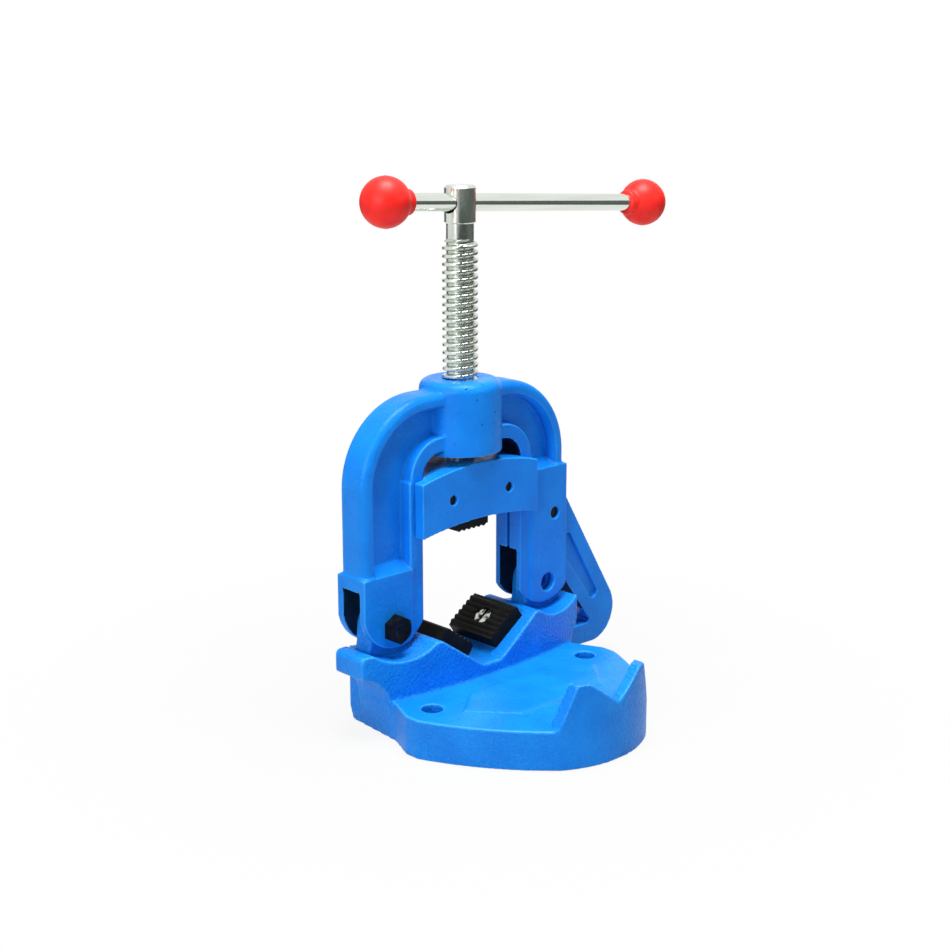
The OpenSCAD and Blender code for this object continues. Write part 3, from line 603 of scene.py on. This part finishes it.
spindle_low, spindle_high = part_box("spindle")
thread_outside = spindle_high.x
thread_root = thread_outside - THREAD_DEPTH
spindle_finish = bright_steel("zinc_spindle_steel", smooth=0.16, dull=0.28, streak=(1, 1, 0.2), tone=0.95)
thread_finish = bright_steel("root_shaded_thread_steel", smooth=0.20, dull=0.32, streak=(1, 1, 0.2), tone=0.95)
thread_tree = thread_finish.node_tree
thread_place = thread_tree.nodes.new("ShaderNodeTexCoord")
flat_place = thread_tree.nodes.new("ShaderNodeMapping")
flat_place.inputs["Scale"].default_value = (1, 1, 0)
thread_tree.links.new(thread_place.outputs["Object"], flat_place.inputs["Vector"])
off_axis = thread_tree.nodes.new("ShaderNodeVectorMath")
off_axis.operation = "LENGTH"
thread_tree.links.new(flat_place.outputs["Vector"], off_axis.inputs[0])
# Painted shade: the colour darkens towards the thread roots, by distance from the axis.
above_root_shade = thread_tree.nodes.new("ShaderNodeMapRange")
above_root_shade.inputs["From Min"].default_value = thread_root
above_root_shade.inputs["From Max"].default_value = thread_outside - ROOT_SHADE_TOP * THREAD_DEPTH
thread_tree.links.new(off_axis.outputs["Value"], above_root_shade.inputs["Value"])
lay_over(thread_finish, THREAD_ROOT_SHADE, above_root_shade.outputs["Result"])
thread_low = spindle_low.z + JOURNAL_LENGTH
thread_high = spindle_high.z - HEAD_LENGTH - NECK_LENGTH
thread_rows = round((thread_high - thread_low) / THREAD_STEP)
thread_mesh = bpy.data.meshes.new("spindle_thread")
thread_shape = bmesh.new()
thread_rings = []
for row in range(-1, thread_rows + 2):
    ring = []
    inside = 0 <= row <= thread_rows
    height = thread_low + min(max(row, 0), thread_rows) * THREAD_STEP
    fade = min(row, thread_rows - row) * THREAD_STEP / (THREAD_RUN_OUT * THREAD_LEAD)
    for i in range(THREAD_TURN):
        turn = 2 * math.pi * i / THREAD_TURN
        if inside:
            full = thread_radius(height - thread_low, turn, thread_outside)
            radius = thread_root + (full - thread_root) * min(max(fade, 0.0), 1.0)
        elif row < 0:
            radius = JOURNAL_RADIUS
        else:
            radius = NECK_RADIUS
        ring.append(thread_shape.verts.new((radius * math.cos(turn), radius * math.sin(turn), height)))
    thread_rings.append(ring)
neck_top = spindle_high.z - HEAD_LENGTH + NECK_IN_HEAD
journal_ring = add_circle(thread_shape, JOURNAL_RADIUS, spindle_low.z, THREAD_TURN)
neck_ring = add_circle(thread_shape, NECK_RADIUS, neck_top, THREAD_TURN)
join_rings(thread_shape, [journal_ring] + thread_rings + [neck_ring])
thread_shape.to_mesh(thread_mesh)
thread_shape.free()
thread_mesh.shade_smooth()
thread_mesh.set_sharp_from_angle(angle=THREAD_SHARP)
spindle_thread = link_piece("spindle_thread", thread_mesh, thread_finish)
thread_mesh.materials.append(spindle_finish)
for face in thread_mesh.polygons:
    if face.center.z > thread_high:
        face.material_index = 1
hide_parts("spindle")
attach(spindle_thread, "spindle")

head_low = spindle_high.z - HEAD_LENGTH
head_profile = [
    (HEAD_RADIUS - HEAD_UNDER_EDGE, head_low),
    (HEAD_RADIUS, head_low + HEAD_UNDER_EDGE),
    (HEAD_RADIUS, spindle_high.z - HEAD_EDGE),
    (HEAD_RADIUS - HEAD_ROUND_IN * HEAD_EDGE, spindle_high.z - HEAD_ROUND_DOWN * HEAD_EDGE),
    (HEAD_RADIUS - HEAD_EDGE, spindle_high.z),
]
spindle_head = lathe("spindle_head", head_profile, HEAD_SIDES, spindle_finish)
drill_profile = [
    (HOLE_RADIUS + HOLE_EDGE, -HEAD_RADIUS - HOLE_OVERCUT),
    (HOLE_RADIUS, -HEAD_RADIUS + HOLE_EDGE_DEPTH),
    (HOLE_RADIUS, HEAD_RADIUS - HOLE_EDGE_DEPTH),
    (HOLE_RADIUS + HOLE_EDGE, HEAD_RADIUS + HOLE_OVERCUT),
]
drill = lathe("drill", drill_profile, HOLE_SIDES, spindle_finish)
drill.rotation_euler = (0, math.radians(90), 0)
drill.location = (0, 0, spindle_high.z - HEAD_LENGTH / 2 + HOLE_ABOVE_MIDDLE)
cut = spindle_head.modifiers.new("cross_hole", "BOOLEAN")
cut.operation = "DIFFERENCE"
cut.solver = "EXACT"
cut.object = drill
bpy.context.view_layer.update()
settle(spindle_head)
bpy.data.objects.remove(drill)
spindle_head.data.set_sharp_from_angle(angle=HEAD_SHARP)
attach(spindle_head, "spindle")
finish_node("spindle_ring", screw_finish)

# Handle bar
# Plain zinc-plated steel rod that slides in the spindle's head.
# A red ball is pressed on each end.
bar_finish = bright_steel("zinc_bar_steel", smooth=0.08, dull=0.15, streak=(0.04, 1, 1), tone=1.1)
finish_node("handle_bar", bar_finish)

# Knobs
# Red satin plastic balls, each with a short collar towards the bar.
# Moulded in two halves, so a faint line runs round them.
RED_DARK = (0.88, 0.017, 0.012, 1)
RED_LIGHT = (0.96, 0.024, 0.017, 1)
RED_CLOUDS = 120.0
RED_SHEEN = 300.0
RED_GRAINS = 700.0
RED_STRENGTH = 0.06
RED_DEPTH = 0.0002
RED_SPECULAR = 0.25
RED_GLOW = 0.25
RED_GLOW_REACH = (0.004, 0.001, 0.001)
KNOB_RADIUS = 0.0125
KNOB_STEPS = 40
KNOB_SIDES = 72
KNOB_TIP = 0.0001
COLLAR_RADIUS = 0.0063
COLLAR_REACH = 0.0145
COLLAR_EDGE = 0.0006
FILLET_START = 0.0008
FILLET_RADIUS = 0.0003
FILLET_RISE = 0.0006
FILLET_END = 0.0008
BAR_TILT = math.radians(3.6)
SEAM_HEIGHT = 0.00012
SEAM_WIDTH = 0.0004


def red_plastic(name):
    material, tree, shader, place = start_material(name)
    spot = place.outputs["Object"]
    clouds = add_noise(tree, spot, RED_CLOUDS, detail=3.0)
    colour = add_ramp(tree, clouds, CLOUD_LOW, CLOUD_HIGH, RED_DARK, RED_LIGHT)
    tree.links.new(colour, shader.inputs["Base Color"])
    sheen = add_noise(tree, spot, RED_SHEEN, detail=3.0)
    add_gloss(tree, sheen, shader, smooth=0.38, dull=0.50)
    grains = add_noise(tree, spot, RED_GRAINS, detail=2.0)
    add_bump(tree, grains, shader, RED_STRENGTH, RED_DEPTH)
    shader.inputs["Specular IOR Level"].default_value = RED_SPECULAR
    shader.inputs["Subsurface Weight"].default_value = RED_GLOW
    shader.inputs["Subsurface Radius"].default_value = RED_GLOW_REACH
    return material


knob_finish = red_plastic("red_knob_plastic")
ball = KNOB_RADIUS - SEAM_HEIGHT
for node, toward in (("knob_near", 1), ("knob_far", -1)):
    low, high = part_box(node)
    profile = []
    for step in range(KNOB_STEPS + 1):
        angle = math.pi * (step / KNOB_STEPS)
        radius = ball * math.sin(angle)
        height = -ball * math.cos(angle)
        seam = SEAM_HEIGHT * math.exp(-((height / SEAM_WIDTH) ** 2))
        if height > 0 and radius < COLLAR_RADIUS + FILLET_START:
            break
        profile.append((max(radius + seam, KNOB_TIP), height))
    profile.append((COLLAR_RADIUS + FILLET_RADIUS, profile[-1][1] + FILLET_RISE))
    profile.append((COLLAR_RADIUS, profile[-1][1] + FILLET_END))
    profile.append((COLLAR_RADIUS, COLLAR_REACH - COLLAR_EDGE))
    profile.append((COLLAR_RADIUS - COLLAR_EDGE, COLLAR_REACH))
    knob = lathe(node + "_ball", profile, KNOB_SIDES, knob_finish)
    along = Vector((math.cos(BAR_TILT), 0, -math.sin(BAR_TILT))) * toward
    end = low.x + KNOB_RADIUS if toward > 0 else high.x - KNOB_RADIUS
    middle = (low.z + high.z) / 2
    turned = along.to_track_quat("Z", "Y").to_matrix().to_4x4()
    knob.data.transform(Matrix.Translation((end, 0, middle)) @ turned)
    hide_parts(node)
    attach(knob, "handle")

# Studio
# A white floor and white surroundings, with soft lamps above and at both sides.
# Dark cloths in front and behind, seen only in reflections, give the bright steel its dark bands.
WHITE = (1, 1, 1, 1)
FLOOR_SIZE = 6.0
PAPER_GREY = 0.48
PAPER_ROUGH = 0.9
SHADOW_INSIDE = 0.10
SHADOW_OUTSIDE = 0.28
WHITE_INSIDE = 0.90
SKY_LEVEL = 0.06
CLOTH_DARK = (0.09, 0.104, 0.095, 1)
CLOTHS = (("front_cloth", -163, 12), ("rear_cloth", 72, 110))
CLOTH_FOLDS = 24
CLOTH_AWAY = 0.65
CLOTH_LOW = 0.003
CLOTH_HIGH = 0.40
LAMPS = (
    ("top_lamp", (-0.05, -0.15, 1.5), 0.7, 34.0),
    ("left_lamp", (-1.4, -0.4, 0.6), 0.8, 13.0),
    ("right_lamp", (0.7, -1.4, 0.9), 0.6, 3.0),
)
LAMP_TARGET = Vector((0, -0.02, 0.12))
CAMERA_PLACE = Vector((-0.576626, -0.616655, 0.335207))
CAMERA_TURN = math.radians(-43.576)
CAMERA_DIP = math.radians(14.272)
CAMERA_LENS = 64.926
CAMERA_NEAR = 0.01
CAMERA_FAR = 20.0


def seen_white(tree):
    rays = tree.nodes.new("ShaderNodeLightPath")
    direct = tree.nodes.new("ShaderNodeMath")
    direct.operation = "ADD"
    tree.links.new(rays.outputs["Is Camera Ray"], direct.inputs[0])
    tree.links.new(rays.outputs["Is Glossy Ray"], direct.inputs[1])
    seen = tree.nodes.new("ShaderNodeMath")
    seen.operation = "ADD"
    seen.use_clamp = True
    tree.links.new(direct.outputs[0], seen.inputs[0])
    tree.links.new(rays.outputs["Is Transmission Ray"], seen.inputs[1])
    return seen.outputs[0]


def show_white(tree, shaded):
    out = tree.nodes.new("ShaderNodeMixShader")
    white = tree.nodes.new("ShaderNodeEmission")
    white.inputs["Color"].default_value = WHITE
    white.inputs["Strength"].default_value = 1.0
    part = tree.nodes.new("ShaderNodeMath")
    part.operation = "MULTIPLY"
    place = tree.nodes.new("ShaderNodeTexCoord")
    away = tree.nodes.new("ShaderNodeVectorMath")
    away.operation = "LENGTH"
    tree.links.new(place.outputs["Object"], away.inputs[0])
    fade = tree.nodes.new("ShaderNodeMapRange")
    fade.inputs["From Min"].default_value = SHADOW_INSIDE
    fade.inputs["From Max"].default_value = SHADOW_OUTSIDE
    fade.inputs["To Min"].default_value = WHITE_INSIDE
    fade.inputs["To Max"].default_value = 1.0
    tree.links.new(away.outputs["Value"], fade.inputs["Value"])
    tree.links.new(fade.outputs["Result"], part.inputs[1])
    tree.links.new(seen_white(tree), part.inputs[0])
    tree.links.new(part.outputs[0], out.inputs["Fac"])
    tree.links.new(shaded, out.inputs[1])
    tree.links.new(white.outputs["Emission"], out.inputs[2])
    return out.outputs["Shader"]


half = FLOOR_SIZE / 2
floor_corners = [(-half, -half, 0), (half, -half, 0), (half, half, 0), (-half, half, 0)]
floor_mesh = bpy.data.meshes.new("floor")
floor_mesh.from_pydata(floor_corners, [], [(0, 1, 2, 3)])
floor_paper = bpy.data.materials.new("white_paper")
floor_paper.use_nodes = True
paper_tree = floor_paper.node_tree
paper_shader = paper_tree.nodes["Principled BSDF"]
paper_shader.inputs["Base Color"].default_value = grey(PAPER_GREY)
paper_shader.inputs["Roughness"].default_value = PAPER_ROUGH
paper_white = show_white(paper_tree, paper_shader.outputs["BSDF"])
paper_tree.links.new(paper_white, paper_tree.nodes["Material Output"].inputs["Surface"])
floor = link_piece("floor", floor_mesh, floor_paper)
floor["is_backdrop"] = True

dark_cloth = bpy.data.materials.new("dark_cloth")
dark_cloth.use_nodes = True
cloth_shader = dark_cloth.node_tree.nodes["Principled BSDF"]
cloth_shader.inputs["Base Color"].default_value = CLOTH_DARK
cloth_shader.inputs["Roughness"].default_value = 1.0
for name, turn_from, turn_to in CLOTHS:
    cloth_points = []
    cloth_faces = []
    for i in range(CLOTH_FOLDS + 1):
        turn = math.radians(turn_from + (turn_to - turn_from) * i / CLOTH_FOLDS)
        for height in (CLOTH_LOW, CLOTH_HIGH):
            cloth_points.append((CLOTH_AWAY * math.cos(turn), CLOTH_AWAY * math.sin(turn), height))
    for i in range(CLOTH_FOLDS):
        cloth_faces.append((2 * i, 2 * i + 2, 2 * i + 3, 2 * i + 1))
    cloth_mesh = bpy.data.meshes.new(name)
    cloth_mesh.from_pydata(cloth_points, [], cloth_faces)
    cloth = link_piece(name, cloth_mesh, dark_cloth)
    cloth.visible_camera = False
    cloth.visible_diffuse = False
    cloth.visible_transmission = False
    cloth.visible_shadow = False
    cloth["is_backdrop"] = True

world = bpy.data.worlds.new("studio")
world.use_nodes = True
sky_tree = world.node_tree
sky_shade = sky_tree.nodes["Background"]
sky_shade.inputs["Color"].default_value = WHITE
level = sky_tree.nodes.new("ShaderNodeMapRange")
level.inputs["To Min"].default_value = SKY_LEVEL
level.inputs["To Max"].default_value = 1.0
sky_tree.links.new(seen_white(sky_tree), level.inputs["Value"])
sky_tree.links.new(level.outputs["Result"], sky_shade.inputs["Strength"])
bpy.context.scene.world = world

for name, place, size, power in LAMPS:
    lamp = bpy.data.lights.new(name, "AREA")
    lamp.size = size
    lamp.energy = power
    stand = bpy.data.objects.new(name, lamp)
    stand.location = place
    stand.rotation_mode = "QUATERNION"
    stand.rotation_quaternion = (LAMP_TARGET - Vector(place)).to_track_quat("-Z", "Y")
    bpy.context.scene.collection.objects.link(stand)

camera = bpy.data.cameras.new("camera")
camera.lens = CAMERA_LENS
camera.clip_start = CAMERA_NEAR
camera.clip_end = CAMERA_FAR
viewer = bpy.data.objects.new("camera", camera)
back = Vector((
    math.sin(CAMERA_TURN) * math.cos(CAMERA_DIP),
    -math.cos(CAMERA_TURN) * math.cos(CAMERA_DIP),
    math.sin(CAMERA_DIP),
))
viewer.rotation_mode = "QUATERNION"
viewer.rotation_quaternion = (-back).to_track_quat("-Z", "Y")
viewer.location = CAMERA_PLACE
bpy.context.scene.collection.objects.link(viewer)
bpy.context.scene.camera = viewer
bpy.context.scene.view_settings.view_transform = "Standard"

low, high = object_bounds()
